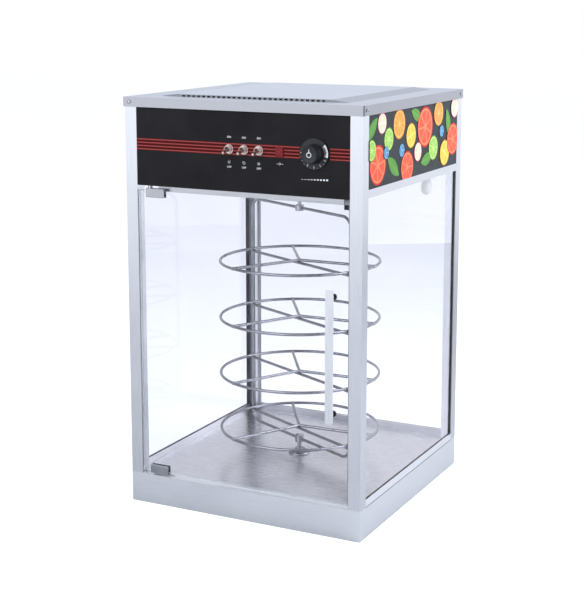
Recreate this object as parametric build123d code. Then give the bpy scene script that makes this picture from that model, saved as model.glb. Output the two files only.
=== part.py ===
from build123d import *
from math import cos, sin, radians
import os

# Pizza display case: a glass cabinet on a sheet-metal base, with a header of controls
# above it and a turning frame of four wire racks inside. Millimetres, +Z up, front at -Y,
# origin at the centre of the base, on the surface that it stands on.

# Cabinet
width = 500.0
depth = 500.0
base_height = 60.0
post_side = 25.0
post_wall = 1.5
post_height = 748.3
sheet = 1.5
thin_sheet = 1.2

# Base and floor
base_flange = 45.0
bottom_lip = 14.0
vent_slot_length = 60.0
vent_slot_width = 5.0
vent_slot_pitch = 16.0
vent_slot_count = 6
sill_depth = 12.0
floor_rise = 2.5
floor_gap = 0.3

# Glass panes and the channels that hold them
pane_thickness = 4.0
gasket_wall = 1.5
gasket_lip = 3.0
channel_depth = 10.0
lower_channel_height = 14.0
upper_channel_height = 15.0
pane_top_play = 2.0

# Header
header_height = 166.3
fascia_drop = 15.0
fascia_flange = 27.0
ceiling_lift = 10.0
stop_rail_height = 11.0
stop_rail_depth = 15.0
stop_rail_start = 40.0
stop_rail_end = 17.0

# Roof
cap_rim = 18.7
cap_hem = 2.8
hood_inset = 50.0
hood_slope = 36.0
hood_height = 4.5
hood_slot_width = 6.5
hood_slot_height = 2.8
hood_slot_pitch = 11.0
roof_opening_inset = 24.0
screw_inset = 11.0
screw_drop = 8.0
screw_shank = 4.0
screw_head = 8.5
screw_head_height = 3.0
screw_length = 12.0
screw_play = 0.2

# Door
glass_thickness = 5.0
door_side_gap = 2.5
door_setback = 3.0
pivot_from_post = 26.0
clamp_length = 40.0
clamp_thickness = 12.0
clamp_height = 17.5
clamp_plate = 3.5
clamp_end = 7.0
clamp_round = 1.0
clamp_foot = 3.5
clamp_head = 5.1
liner = 1.0
pin_radius = 2.5
pin_play = 0.05
pin_shoulder = 4.5
pin_seat = 2.5
pin_reach = 8.0
pin_float = 0.3
handle_width = 15.5
handle_length = 251.0
handle_thickness = 3.0
handle_standoff = 12.0
handle_from_edge = 24.5
handle_base = 163.0
handle_end = 15.0
handle_round = 1.5
standoff_radius = 4.0
standoff_cap_radius = 6.0
standoff_cap = 3.0
stud_radius = 2.5
strike_width = 12.0
strike_height = 9.0
strike_thickness = 1.0
catch_gap = 0.3
catch_width = 12.0
catch_depth = 14.0

# Switches, pilot lamp and thermostat on the fascia
control_height = 79.5
switch_pitch = 31.2
switch_from_dial = 145.3
bushing_radius = 6.0
bushing_length = 9.0
bushing_lip = 0.6
switch_body_width = 13.0
switch_body_height = 28.0
switch_body_depth = 24.0
lug_width = 6.0
lug_length = 6.0
lug_thickness = 1.0
lug_pitch = 9.0
nut_radius = 9.5
nut_flange = 3.0
nut_collar_radius = 7.8
nut_collar = 3.0
nut_chamfer = 1.2
edge_chamfer = 0.8
lever_pivot = 4.0
lever_ball = 3.2
lever_root = 2.1
lever_tip = 3.2
lever_length = 19.0
lever_rest = 15.0
lever_play = 0.8
pilot_from_dial = 71.0
pilot_size = 17.0
pilot_body_side = 14.0
pilot_depth = 22.0
pilot_proud = 2.6
dial_from_post = 70.0
dial_radius = 28.5
dial_thickness = 3.0
dial_gap = 1.0
grip_radius = 18.0
grip_length = 21.0
grip_flutes = 18
flute_radius = 1.4
grip_taper = 1.5
grip_round = 1.5
spindle_grip = 16.0
spindle_radius = 3.0
spindle_seat = 12.0
thermostat_size = 38.0
thermostat_depth = 30.0
thermostat_round = 4.0
spindle_bush = 5.0

# Sensor of the thermostat
capillary_radius = 1.5
capillary_bend = 20.0
sensor_radius = 3.0
sensor_length = 38.0
sensor_drop = 4.0
sensor_from_dial = 95.0
sensor_y = -60.0
ceiling_hole_play = 0.5

# Lamp under the ceiling
lamp_side_gap = 29.0
lamp_rear_gap = 33.0
lamp_socket_radius = 13.0
lamp_socket_length = 16.0
lamp_flange_radius = 17.0
lamp_flange = 2.0
lamp_wire_hole = 6.5
bulb_radius = 11.0
bulb_neck = 6.0
bulb_length = 34.0

# Turning frame and racks
wire = 3.0
hoop_angle = -26.8
hoop_gap = 0.3
rack_radius = 164.5
rack_first = 60.5
rack_headroom = 172.0
rack_count = 4
spoke_first = 2.0
spoke_count = 3
hoop_bottom = 33.0
hoop_top_gap = 108.0
hoop_corner = 26.0
collar_radius = 9.0
collar_height = 15.0
top_collar_height = 12.0
shaft_radius = 4.0
running_play = 0.05

# Drive under the floor
flange_radius = 22.5
flange_thickness = 3.0
boss_radius = 8.0
boss_height = 11.5
flange_bolt_circle = 34.0
flange_bolt_count = 3
bolt_radius = 2.0
bolt_head_radius = 3.6
bolt_head_height = 3.0
bolt_reach = 7.0
bolt_play = 0.15
motor_radius = 25.0
motor_height = 24.0
motor_drop = 9.0
motor_round = 2.0
bracket_hole_play = 2.0
shaft_bottom_gap = 4.0
bracket_length = 96.0
bracket_width = 52.0
bracket_foot = 12.0
top_bush_radius = 8.0
top_bush_flange_radius = 15.0
top_bush_flange = 2.0
top_bush_length = 22.0
pin_end_gap = 3.0

# Heating element under the floor
element_radius = 4.0
element_reach = 150.0
element_bend = 27.0
element_tail = 32.0
element_drop = 9.0
element_leg_gap = 60.0
clamp_block_width = 14.0
clamp_block_length = 12.0

# Cord entry in the rear panel
gland_from_post = 55.0
gland_lift = 28.0
gland_bore = 4.5
gland_thread = 8.0
gland_nut_radius = 12.0
gland_nut = 5.0
gland_dome = 15.0
gland_tail = 12.0
gland_step = 1.8
gland_lip = 3.0

# Heights and planes that follow
half_x = width / 2
half_y = depth / 2
inner_x = half_x - post_side
inner_y = half_y - post_side
floor_top = base_height + floor_rise
post_top = base_height + post_height
cap_top = post_top + thin_sheet
upper_rail_bottom = post_top - header_height
upper_rail_top = upper_rail_bottom + upper_channel_height
fascia_bottom = upper_rail_top - fascia_drop - sheet
ceiling_bottom = fascia_bottom + sheet
control_z = fascia_bottom + control_height
front = -half_y
fascia_back = front + sheet
door_front = front + door_setback
door_back = door_front + glass_thickness
door_mid = (door_front + door_back) / 2
door_left = -inner_x + door_side_gap
door_right = inner_x - door_side_gap
pivot_x = -inner_x + pivot_from_post
clamp_low = base_height + clamp_foot
clamp_high = fascia_bottom - clamp_head
glass_low = clamp_low + clamp_plate + liner
glass_high = clamp_high - clamp_plate - liner
dial_place = inner_x - dial_from_post
pilot_place = dial_place - pilot_from_dial
switch_centre = dial_place - switch_from_dial
sensor_x = dial_place - sensor_from_dial
lamp_x = inner_x - lamp_side_gap
lamp_y = inner_y - lamp_rear_gap
gland_place = gland_from_post - inner_x
rack_pitch = (upper_rail_bottom - rack_headroom - base_height - rack_first) / (rack_count - 1)
hoop_radius = rack_radius + hoop_gap + wire
hoop_low = base_height + hoop_bottom
hoop_high = base_height + rack_first + (rack_count - 1) * rack_pitch + hoop_top_gap
ring_radius = rack_radius - wire
frame_wall = half_y - sill_depth


# Shapes that several pieces share
def block(x0, x1, y0, y1, z0, z1):
    solid = Box(x1 - x0, y1 - y0, z1 - z0)
    return Pos((x0 + x1) / 2, (y0 + y1) / 2, (z0 + z1) / 2) * solid


def upright(radius, z0, z1, x=0.0, y=0.0):
    solid = Cylinder(radius, z1 - z0)
    return Pos(x, y, (z0 + z1) / 2) * solid


def facing(radius, y0, y1, x, z):
    solid = Cylinder(radius, y1 - y0)
    return Pos(x, (y0 + y1) / 2, z) * Rot(90, 0, 0) * solid


def rod(start, end, radius):
    run = Vector(*end) - Vector(*start)
    plane = Plane(origin=start, z_dir=run)
    low = (Align.CENTER, Align.CENTER, Align.MIN)
    return plane * Cylinder(radius, run.length, align=low)


def save(shape, name):
    export_step(shape, "parts/" + name + ".step")


def group(solids, name):
    save(Compound(children=solids), name)


def post_corners():
    places = []
    for x in (-1, 1):
        for y in (-1, 1):
            places.append((x * (half_x - post_side / 2), y * (half_y - post_side / 2)))
    return places


def cut_posts(shape, play):
    side = post_side + 2 * play
    for x, y in post_corners():
        shape -= Pos(x, y, cap_top / 2) * Box(side, side, cap_top)
    return shape


# Base
def base_skirt():
    skirt = block(-half_x, half_x, -half_y, half_y, 0, base_height)
    skirt -= block(sheet - half_x, half_x - sheet, sheet - half_y, half_y - sheet, sheet, base_height - sheet)
    top_x = half_x - base_flange
    top_y = half_y - base_flange
    skirt -= block(-top_x, top_x, -top_y, top_y, base_height / 2, base_height + 1)
    low_x = half_x - bottom_lip
    low_y = half_y - bottom_lip
    skirt -= block(-low_x, low_x, -low_y, low_y, -1, base_height / 2)
    skirt -= upright(pin_radius + pin_play, base_height - 3 * sheet, base_height + 1, pivot_x, door_mid)
    return skirt


def bottom_cover():
    reach_x = half_x - 2 * sheet
    reach_y = half_y - 2 * sheet
    seat_x = half_x - bottom_lip - floor_gap
    seat_y = half_y - bottom_lip - floor_gap
    cover = block(-reach_x, reach_x, -reach_y, reach_y, sheet, 2 * sheet)
    cover += block(-seat_x, seat_x, -seat_y, seat_y, 0, sheet)
    cover -= block(sheet - seat_x, seat_x - sheet, sheet - seat_y, seat_y - sheet, sheet, 3 * sheet)
    for side in (-1, 1):
        for i in range(vent_slot_count):
            x = (i - (vent_slot_count - 1) / 2) * vent_slot_pitch + side * width / 4
            slot = extrude(SlotOverall(vent_slot_length, vent_slot_width), 3 * sheet)
            cover -= Pos(x, 0, -sheet) * Rot(0, 0, 90) * slot
    return cover


def floor_plate():
    reach = half_x - channel_depth - floor_gap
    rear = half_y - channel_depth - floor_gap
    plate = block(-reach, reach, -frame_wall, rear, base_height, floor_top)
    plate = cut_posts(plate, floor_gap)
    hollow = block(-reach, reach, -frame_wall, rear, base_height, floor_top - thin_sheet)
    hollow = cut_posts(hollow, floor_gap + thin_sheet)
    keep = block(thin_sheet - reach, reach - thin_sheet, thin_sheet - frame_wall, rear - thin_sheet,
                 base_height, floor_top)
    plate -= hollow & keep
    plate -= upright(boss_radius, base_height, floor_top + 1)
    for x, y in flange_bolts():
        plate -= upright(bolt_radius + bolt_play, base_height, floor_top + 1, x, y)
    return plate


# Posts and the channels between them
def post(x, y):
    tube = Box(post_side, post_side, post_height) - Box(post_side - 2 * post_wall, post_side - 2 * post_wall,
                                                        post_height)
    tube = Pos(x, y, base_height + post_height / 2) * tube
    for screw in screw_holes():
        tube -= screw
    return tube


def side_turns():
    return {"right": (0, half_x, inner_y), "rear": (90, half_y, inner_x), "left": (180, half_x, inner_y)}


def lower_channel(reach, run):
    rail = block(reach - channel_depth, reach, -run, run, base_height, base_height + lower_channel_height)
    return rail - block(reach - channel_depth + sheet, reach - sheet, -run, run,
                        base_height + sheet, base_height + lower_channel_height)


def upper_channel(reach, run):
    rail = block(reach - channel_depth, reach, -run, run, upper_rail_bottom, upper_rail_top)
    return rail - block(reach - channel_depth + sheet, reach - sheet, -run, run,
                        upper_rail_bottom, upper_rail_top - sheet)


def pane_box(reach, run):
    mid = reach - channel_depth / 2
    low = base_height + sheet + gasket_wall
    high = upper_rail_top - sheet - gasket_wall - pane_top_play
    half = pane_thickness / 2
    return block(mid - half, mid + half, gasket_wall - run, run - gasket_wall, low, high)


def gasket(reach, run):
    seal = block(reach - channel_depth + sheet, reach - sheet, -run, run, base_height + sheet,
                 upper_rail_top - sheet)
    seal -= pane_box(reach, run)
    mid = reach - channel_depth / 2
    half = pane_thickness / 2
    seal -= block(mid - half, mid + half, gasket_wall - run, run - gasket_wall,
                  upper_rail_bottom, upper_rail_top - sheet - gasket_wall)
    return seal - block(reach - channel_depth, reach, gasket_lip - run, run - gasket_lip,
                        base_height + lower_channel_height, upper_rail_bottom)


# Header
def fascia():
    panel = block(-inner_x, inner_x, front, fascia_back, fascia_bottom, post_top)
    panel += block(-inner_x, inner_x, front, front + fascia_flange, fascia_bottom, ceiling_bottom)
    panel -= upright(pin_radius + pin_play, fascia_bottom - 1, ceiling_bottom + 1, pivot_x, door_mid)
    for x in switch_places():
        panel -= facing(bushing_radius, front - 1, fascia_back + 1, x, control_z)
    panel -= facing(spindle_bush, front - 1, fascia_back + 1, dial_place, control_z)
    half = pilot_body_side / 2
    return panel - block(pilot_place - half, pilot_place + half, front - 1, fascia_back + 1,
                         control_z - half, control_z + half)


def side_panel(reach, run):
    return block(reach - sheet, reach, -run, run, upper_rail_top, post_top)


def rear_panel():
    panel = Rot(0, 0, 90) * side_panel(half_y, inner_x)
    panel -= facing(gland_thread, half_y - 2 * sheet, half_y + 1, gland_place, gland_z())
    for i in range(vent_slot_count):
        z = upper_rail_top + post_side + i * vent_slot_pitch
        slot = block(half_x / 2 - vent_slot_length, half_x / 2, half_y - 2 * sheet, half_y + 1,
                     z, z + vent_slot_width)
        panel -= slot
    return panel


def ceiling_pan():
    reach_x = half_x - channel_depth
    reach_y = half_y - channel_depth
    pan = block(-reach_x, reach_x, -reach_y, reach_y, ceiling_bottom, ceiling_bottom + ceiling_lift)
    pan = cut_posts(pan, 0)
    hollow = block(thin_sheet - reach_x, reach_x - thin_sheet, thin_sheet - reach_y, reach_y - thin_sheet,
                   ceiling_bottom + thin_sheet, ceiling_bottom + ceiling_lift + 1)
    pan -= cut_posts(hollow, thin_sheet)
    low = ceiling_bottom - 1
    high = ceiling_bottom + ceiling_lift
    pan -= upright(top_bush_radius, low, high)
    pan -= upright(capillary_radius + ceiling_hole_play, low, high, sensor_x, sensor_y)
    return pan - upright(lamp_wire_hole, low, high, lamp_x, lamp_y)


def stop_rail():
    left = stop_rail_start - inner_x
    right = inner_x - stop_rail_end
    back = stop_rail_depth - frame_wall
    low = fascia_bottom - stop_rail_height
    rail = block(left, right, -frame_wall, back, low, fascia_bottom)
    return rail - block(left, right, thin_sheet - frame_wall, back - thin_sheet,
                        low + thin_sheet, fascia_bottom - thin_sheet)


# Roof
def screw_sites():
    sites = []
    bare_corner = (1, -1)
    z = post_top - screw_drop
    for x in (-1, 1):
        for y in (-1, 1):
            if (x, y) != bare_corner:
                sites.append((x * (half_x - screw_inset), y * half_y, z, 0, y))
            sites.append((x * half_x, y * (half_y - screw_inset), z, x, 0))
    return sites


def screw_holes():
    holes = []
    for x, y, z, out_x, out_y in screw_sites():
        start = (x + out_x * (cap_hem + 1), y + out_y * (cap_hem + 1), z)
        end = (x - out_x * 2 * post_wall, y - out_y * 2 * post_wall, z)
        holes.append(rod(start, end, screw_shank / 2 + screw_play))
    return holes


def cap_screw(x, y, z, out_x, out_y):
    seat = Vector(x + out_x * cap_hem, y + out_y * cap_hem, z)
    out = Vector(out_x, out_y, 0)
    shank = rod(tuple(seat - out * screw_length), tuple(seat), screw_shank / 2)
    plane = Plane(origin=tuple(seat), z_dir=out)
    bowl = (screw_head ** 2 / 4 + screw_head_height ** 2) / (2 * screw_head_height)
    dome = Pos(0, 0, screw_head_height - bowl) * Sphere(bowl)
    dome &= Pos(0, 0, screw_head_height / 2) * Cylinder(screw_head / 2, screw_head_height)
    cross = Box(screw_head / 2, screw_head / 8, screw_head_height)
    cross += Box(screw_head / 8, screw_head / 2, screw_head_height)
    dome -= Pos(0, 0, screw_head_height) * cross
    return shank + plane * dome


def roof_cap():
    out_x = half_x + cap_hem
    out_y = half_y + cap_hem
    cap = block(-out_x, out_x, -out_y, out_y, cap_top - cap_rim, cap_top)
    edges = cap.edges().filter_by(Axis.Z)
    cap = fillet(edges, cap_hem)
    cap -= block(-half_x, half_x, -half_y, half_y, cap_top - cap_rim - 1, post_top)
    open_x = half_x - hood_inset - roof_opening_inset
    open_y = half_y - hood_inset - roof_opening_inset
    cap -= block(-open_x, open_x, -open_y, open_y, post_top - 1, cap_top + 1)
    for screw in screw_holes():
        cap -= screw
    return cap


def hood_section(reach, height, slope):
    top = reach - slope
    return Polyline((-reach, 0), (-top, height), (top, height), (reach, 0), close=True)


def vent_hood():
    reach = half_x - hood_inset
    run = half_y - hood_inset
    inner_height = hood_height - thin_sheet
    thin_run = thin_sheet * hood_slope / hood_height
    plane = Plane(origin=(0, run, cap_top), x_dir=(1, 0, 0), z_dir=(0, -1, 0))
    hood = extrude(plane * make_face(hood_section(reach, hood_height, hood_slope)), 2 * run)
    plane = Plane(origin=(0, run - thin_sheet, cap_top), x_dir=(1, 0, 0), z_dir=(0, -1, 0))
    hollow = make_face(hood_section(reach - thin_run, inner_height, hood_slope - thin_run))
    hood -= extrude(plane * hollow, 2 * (run - thin_sheet))
    span = 2 * (reach - hood_slope - thin_run)
    count = int(span / hood_slot_pitch)
    low = cap_top + (inner_height - hood_slot_height) / 2
    half = hood_slot_width / 2
    for i in range(count):
        x = (i - (count - 1) / 2) * hood_slot_pitch
        hood -= block(x - half, x + half, -run - 1, run + 1, low, low + hood_slot_height)
    return hood


# Door
def door_glass():
    return block(door_left, door_right, door_front, door_back, glass_low, glass_high) - door_holes()


def door_holes():
    holes = [facing(stud_radius, door_front - 1, door_back + 1, handle_x(), z) for z in stud_heights()]
    return holes[0] + holes[1]


def handle_x():
    return door_right - handle_from_edge - handle_width / 2


def stud_heights():
    low = base_height + handle_base + handle_end
    return (low, low + handle_length - 2 * handle_end)


def clamp_ends():
    return {"low": (clamp_low, 1), "high": (clamp_high, -1)}


def span(a, b):
    return min(a, b), max(a, b)


def hinge_clamp(edge, up):
    left = pivot_x - clamp_end
    right = left + clamp_length
    half = clamp_thickness / 2
    far = edge + up * clamp_height
    shell = block(left, right, door_mid - half, door_mid + half, *span(edge, far))
    shell = fillet(shell.edges().filter_by(Axis.X), clamp_round)
    slot = glass_thickness / 2 + liner
    slot_span = span(edge + up * clamp_plate, far + up)
    shell -= block(left - 1, right + 1, door_mid - slot, door_mid + slot, *slot_span)
    return shell - upright(pin_radius, *span(edge - up, edge + up * pin_seat), pivot_x, door_mid)


def clamp_liner(edge, up):
    left = pivot_x - clamp_end
    right = left + clamp_length
    slot = glass_thickness / 2 + liner
    start = edge + up * clamp_plate
    far = edge + up * clamp_height
    lining = block(left, right, door_mid - slot, door_mid + slot, *span(start, far))
    glass_span = span(start + up * liner, far + up)
    return lining - block(left - 1, right + 1, door_front, door_back, *glass_span)


def hinge_pin(edge, up, gap):
    pin = upright(pin_radius, *span(edge + up * pin_seat, edge - up * pin_reach), pivot_x, door_mid)
    stop = edge - up * (gap - pin_float)
    return pin + upright(pin_shoulder, *span(edge, stop), pivot_x, door_mid)


def handle_strip():
    x = handle_x()
    back = door_front - handle_standoff
    low = base_height + handle_base
    half = handle_width / 2
    strip = block(x - half, x + half, back - handle_thickness, back, low, low + handle_length)
    strip = fillet(strip.edges().filter_by(Axis.Y), handle_round)
    for z in stud_heights():
        strip -= facing(stud_radius, back - handle_thickness / 2, back + 1, x, z)
    return strip


def handle_stud(z):
    x = handle_x()
    back = door_front - handle_standoff
    stud = facing(standoff_radius, back, door_front, x, z)
    stud += facing(stud_radius, back - handle_thickness / 2, door_back, x, z)
    return stud + facing(standoff_cap_radius, door_back, door_back + standoff_cap, x, z)


def strike_plate():
    x = inner_x - stop_rail_end / 2
    high = glass_high - strike_thickness
    return block(x - strike_width / 2, x + strike_width / 2 - door_side_gap, door_back,
                 door_back + strike_thickness, high - strike_height, high)


def magnet_catch():
    x = inner_x - stop_rail_end / 2
    near = door_back + strike_thickness + catch_gap
    body = block(x - catch_width / 2, x + catch_width / 2, near, near + catch_depth,
                 fascia_bottom - stop_rail_height, fascia_bottom)
    return body - block(x - catch_width / 4, x + catch_width / 4, near - 1, near + 1,
                        fascia_bottom - stop_rail_height / 2, fascia_bottom - 1)


# Controls
def switch_places():
    return [switch_centre + (i - 1) * switch_pitch for i in range(3)]


def switch_body(x):
    half = switch_body_width / 2
    tall = switch_body_height / 2
    back = fascia_back + switch_body_depth
    body = block(x - half, x + half, fascia_back, back, control_z - tall, control_z + tall)
    for step in (-1, 0, 1):
        z = control_z + step * lug_pitch
        body += block(x - lug_width / 2, x + lug_width / 2, back, back + lug_length,
                      z - lug_thickness / 2, z + lug_thickness / 2)
    body += facing(bushing_radius, front - bushing_length, fascia_back, x, control_z)
    mouth = Cone(lever_ball + lever_play, bushing_radius - bushing_lip, bushing_length)
    return body - Pos(x, front - bushing_length / 2, control_z) * Rot(90, 0, 0) * mouth


def switch_nut(x):
    nut = facing(nut_radius, front - nut_flange, front, x, control_z)
    nut = chamfer(nut.edges().group_by(Axis.Y)[0], nut_chamfer)
    collar = facing(nut_collar_radius, front - nut_flange - nut_collar, front - nut_flange, x, control_z)
    collar = chamfer(collar.edges().group_by(Axis.Y)[0], edge_chamfer)
    return nut + collar - facing(bushing_radius, front - bushing_length, front + 1, x, control_z)


def switch_lever(x):
    shaft = Pos(0, 0, lever_length / 2) * Cone(lever_root, lever_tip, lever_length)
    shaft += Pos(0, 0, lever_length) * Sphere(lever_tip)
    shaft += Sphere(lever_ball)
    return Pos(x, front - lever_pivot, control_z) * Rot(90 + lever_rest, 0, 0) * shaft


def pilot_lens():
    half = pilot_size / 2
    lens = block(pilot_place - half, pilot_place + half, front - pilot_proud, front,
                 control_z - half, control_z + half)
    return chamfer(lens.faces().sort_by(Axis.Y)[0].edges(), nut_chamfer)


def pilot_body():
    half = pilot_body_side / 2
    back = fascia_back + pilot_depth
    body = block(pilot_place - half, pilot_place + half, front, back, control_z - half, control_z + half)
    for step in (-1, 1):
        z = control_z + step * half / 2
        body += block(pilot_place - lug_width / 2, pilot_place + lug_width / 2, back, back + lug_length,
                      z - lug_thickness / 2, z + lug_thickness / 2)
    return body


def thermostat_body():
    half = thermostat_size / 2
    body = block(dial_place - half, dial_place + half, fascia_back, fascia_back + thermostat_depth,
                 control_z - half, control_z + half)
    body = fillet(body.edges().filter_by(Axis.Y), thermostat_round)
    body += facing(spindle_bush, front, fascia_back, dial_place, control_z)
    bore = spindle_radius + running_play
    return body - facing(bore, front - 1, fascia_back + spindle_seat, dial_place, control_z)


def dial_skirt():
    near = front - dial_gap
    disc = facing(dial_radius, near - dial_thickness, near, dial_place, control_z)
    disc = chamfer(disc.edges().group_by(Axis.Y)[0], edge_chamfer)
    return disc - facing(spindle_radius, near - 2 * dial_thickness, near + 1, dial_place, control_z)


def knob_grip():
    near = front - dial_gap - dial_thickness
    low = (Align.CENTER, Align.CENTER, Align.MIN)
    grip = Cone(grip_radius, grip_radius - grip_taper, grip_length, align=low)
    grip = fillet(grip.edges().sort_by(Axis.Z)[-1], grip_round)
    for i in range(grip_flutes):
        turn = Rot(0, 0, i * 360 / grip_flutes)
        grip -= turn * Pos(grip_radius, 0, grip_length / 2) * Cylinder(flute_radius, grip_length + 2)
    grip -= Cylinder(spindle_radius, 2 * spindle_grip)
    return Pos(dial_place, near, control_z) * Rot(90, 0, 0) * grip


def thermostat_spindle():
    near = front - dial_gap - dial_thickness
    back = fascia_back + spindle_seat - pin_float
    return facing(spindle_radius, near - spindle_grip, back, dial_place, control_z)


def thermostat_sensor():
    low = control_z - thermostat_size / 3
    start = (dial_place, fascia_back + thermostat_depth, low)
    top = ceiling_bottom - sensor_drop
    path = FilletPolyline(start, (dial_place, sensor_y, low), (sensor_x, sensor_y, low),
                          (sensor_x, sensor_y, top), radius=capillary_bend)
    tube = sweep(Plane(origin=start, z_dir=(0, 1, 0)) * Circle(capillary_radius), path)
    bulb = upright(sensor_radius, top - sensor_length, top, sensor_x, sensor_y)
    return tube + fillet(bulb.edges(), sensor_radius / 3)


# Lamp
def lamp_socket():
    top = ceiling_bottom
    socket = upright(lamp_flange_radius, top - lamp_flange, top, lamp_x, lamp_y)
    socket += upright(lamp_socket_radius, top - lamp_socket_length, top - lamp_flange, lamp_x, lamp_y)
    return socket - upright(bulb_neck, top - lamp_socket_length - 1, top - lamp_flange, lamp_x, lamp_y)


def lamp_bulb():
    top = ceiling_bottom - lamp_socket_length
    neck = upright(bulb_neck, top, ceiling_bottom - lamp_flange, lamp_x, lamp_y)
    shoulder = Pos(lamp_x, lamp_y, top - bulb_radius / 2) * Cone(bulb_radius, bulb_neck, bulb_radius)
    mid = top - bulb_length + bulb_radius
    body = upright(bulb_radius, mid, top - bulb_radius, lamp_x, lamp_y)
    return neck + shoulder + body + Pos(lamp_x, lamp_y, mid) * Sphere(bulb_radius)


# Turning frame and racks
def rack_height(i):
    return base_height + rack_first + i * rack_pitch


def hoop_frame():
    corners = ((-hoop_radius, 0, hoop_low), (hoop_radius, 0, hoop_low), (hoop_radius, 0, hoop_high),
               (-hoop_radius, 0, hoop_high))
    path = FilletPolyline(*corners, radius=hoop_corner, close=True)
    frame = sweep(Plane(origin=path @ 0, z_dir=path % 0) * Circle(wire), path)
    for i in range(rack_count):
        z = rack_height(i) - 2 * wire
        frame += rod((-hoop_radius, 0, z), (hoop_radius, 0, z), wire)
    frame = Rot(0, 0, hoop_angle) * frame
    frame += upright(collar_radius, hoop_low - collar_height / 2, hoop_low + collar_height / 2)
    frame += upright(collar_radius, hoop_high - top_collar_height / 2, hoop_high + top_collar_height / 2)
    frame -= upright(shaft_radius, hoop_low - collar_height, hoop_low)
    return frame - upright(shaft_radius, hoop_high, hoop_high + top_collar_height)


def rack(i):
    ring = Torus(ring_radius, wire)
    for k in range(spoke_count):
        turn = radians(spoke_first + k * 360 / spoke_count)
        ring += rod((0, 0, 0), (ring_radius * cos(turn), ring_radius * sin(turn), 0), wire)
    return Pos(0, 0, rack_height(i)) * (ring + Sphere(wire))


def drive_shaft():
    return upright(shaft_radius, motor_top() - motor_height + shaft_bottom_gap, hoop_low)


def top_pin():
    return upright(shaft_radius, hoop_high, ceiling_bottom + ceiling_lift - pin_end_gap)


# Drive under the floor
def flange_bolts():
    places = []
    for i in range(flange_bolt_count):
        turn = radians(90 + i * 360 / flange_bolt_count)
        places.append((flange_bolt_circle / 2 * cos(turn), flange_bolt_circle / 2 * sin(turn)))
    return places


def bearing_flange():
    flange = upright(flange_radius, floor_top, floor_top + flange_thickness)
    flange = chamfer(flange.edges().group_by(Axis.Z)[-1], edge_chamfer)
    flange += upright(boss_radius, floor_top + flange_thickness, floor_top + boss_height)
    flange += upright(boss_radius, floor_top - thin_sheet, floor_top)
    flange -= upright(shaft_radius + running_play, base_height, floor_top + boss_height + 1)
    for x, y in flange_bolts():
        flange -= upright(bolt_radius + bolt_play, base_height, floor_top + flange_thickness + 1, x, y)
    return flange


def flange_bolt(x, y):
    low = floor_top + flange_thickness
    head = extrude(Plane.XY.offset(low) * RegularPolygon(bolt_head_radius, 6), bolt_head_height)
    head = Pos(x, y, 0) * head
    return head + upright(bolt_radius, low - bolt_reach, low + bolt_head_height, x, y)


def motor_top():
    return floor_top - thin_sheet - motor_drop


def motor_bracket():
    low = motor_top()
    high = floor_top - thin_sheet
    half = bracket_length / 2
    wide = bracket_width / 2
    wall = half - bracket_foot
    inside = wall - sheet
    bracket = block(-wall, wall, -wide, wide, low, high)
    bracket += block(-half, half, -wide, wide, high - sheet, high)
    bracket -= block(-inside, inside, -wide, wide, low + sheet, high)
    return bracket - upright(shaft_radius + bracket_hole_play, low - 1, low + sheet + 1)


def gear_motor():
    top = motor_top()
    motor = upright(motor_radius, top - motor_height, top)
    motor = fillet(motor.edges().group_by(Axis.Z)[0], motor_round)
    pit = top - motor_height + shaft_bottom_gap - pin_float
    return motor - upright(shaft_radius + running_play, pit, top + 1)


def top_bush():
    high = ceiling_bottom
    bush = upright(top_bush_flange_radius, high - top_bush_flange, high)
    bush += upright(top_bush_radius, high - top_bush_length, high + thin_sheet)
    return bush - upright(shaft_radius + running_play, high - top_bush_length - 1, high + thin_sheet + 1)


# Heating element
def element_z():
    return floor_top - thin_sheet - element_drop


def heating_element():
    reach = element_reach
    leg = element_leg_gap / 2
    tail = reach + element_tail
    z = element_z()
    corners = ((-leg, tail, z), (-leg, reach, z), (-reach, reach, z), (-reach, -reach, z),
               (reach, -reach, z), (reach, reach, z), (leg, reach, z), (leg, tail, z))
    path = FilletPolyline(*corners, radius=element_bend)
    return sweep(Plane(origin=corners[0], z_dir=(0, -1, 0)) * Circle(element_radius), path)


def element_clamp(x):
    z = element_z()
    half = clamp_block_width / 2
    thick = clamp_block_length / 2
    grip = block(x - half, x + half, -thick, thick, z - element_radius - sheet, floor_top - thin_sheet)
    return grip - Pos(x, 0, z) * Rot(90, 0, 0) * Cylinder(element_radius, 2 * clamp_block_length)


# Cord entry
def gland_z():
    return upper_rail_top + gland_lift


def gland_hexagon(rear):
    plane = Plane(origin=(gland_place, rear, gland_z()), z_dir=(0, -1, 0))
    return extrude(plane * RegularPolygon(gland_nut_radius, 6), gland_nut)


def cord_gland():
    z = gland_z()
    x = gland_place
    outside = half_y + gland_nut
    gland = facing(gland_thread, half_y - sheet - gland_tail, half_y, x, z)
    gland += gland_hexagon(outside)
    gland += gland_hexagon(half_y - sheet)
    dome = Cone(gland_nut_radius - gland_step, gland_bore + gland_lip, gland_dome)
    gland += Pos(x, outside + gland_dome / 2, z) * Rot(-90, 0, 0) * dome
    return gland - facing(gland_bore, half_y - sheet - gland_tail - 1, outside + gland_dome + 1, x, z)


os.makedirs("parts", exist_ok=True)

save(base_skirt(), "base_skirt")
save(bottom_cover(), "base_bottom_cover")
save(floor_plate(), "floor_plate")
for name, (x, y) in zip(("front_left", "rear_left", "front_right", "rear_right"), post_corners()):
    save(post(x, y), "post_" + name)

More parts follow.
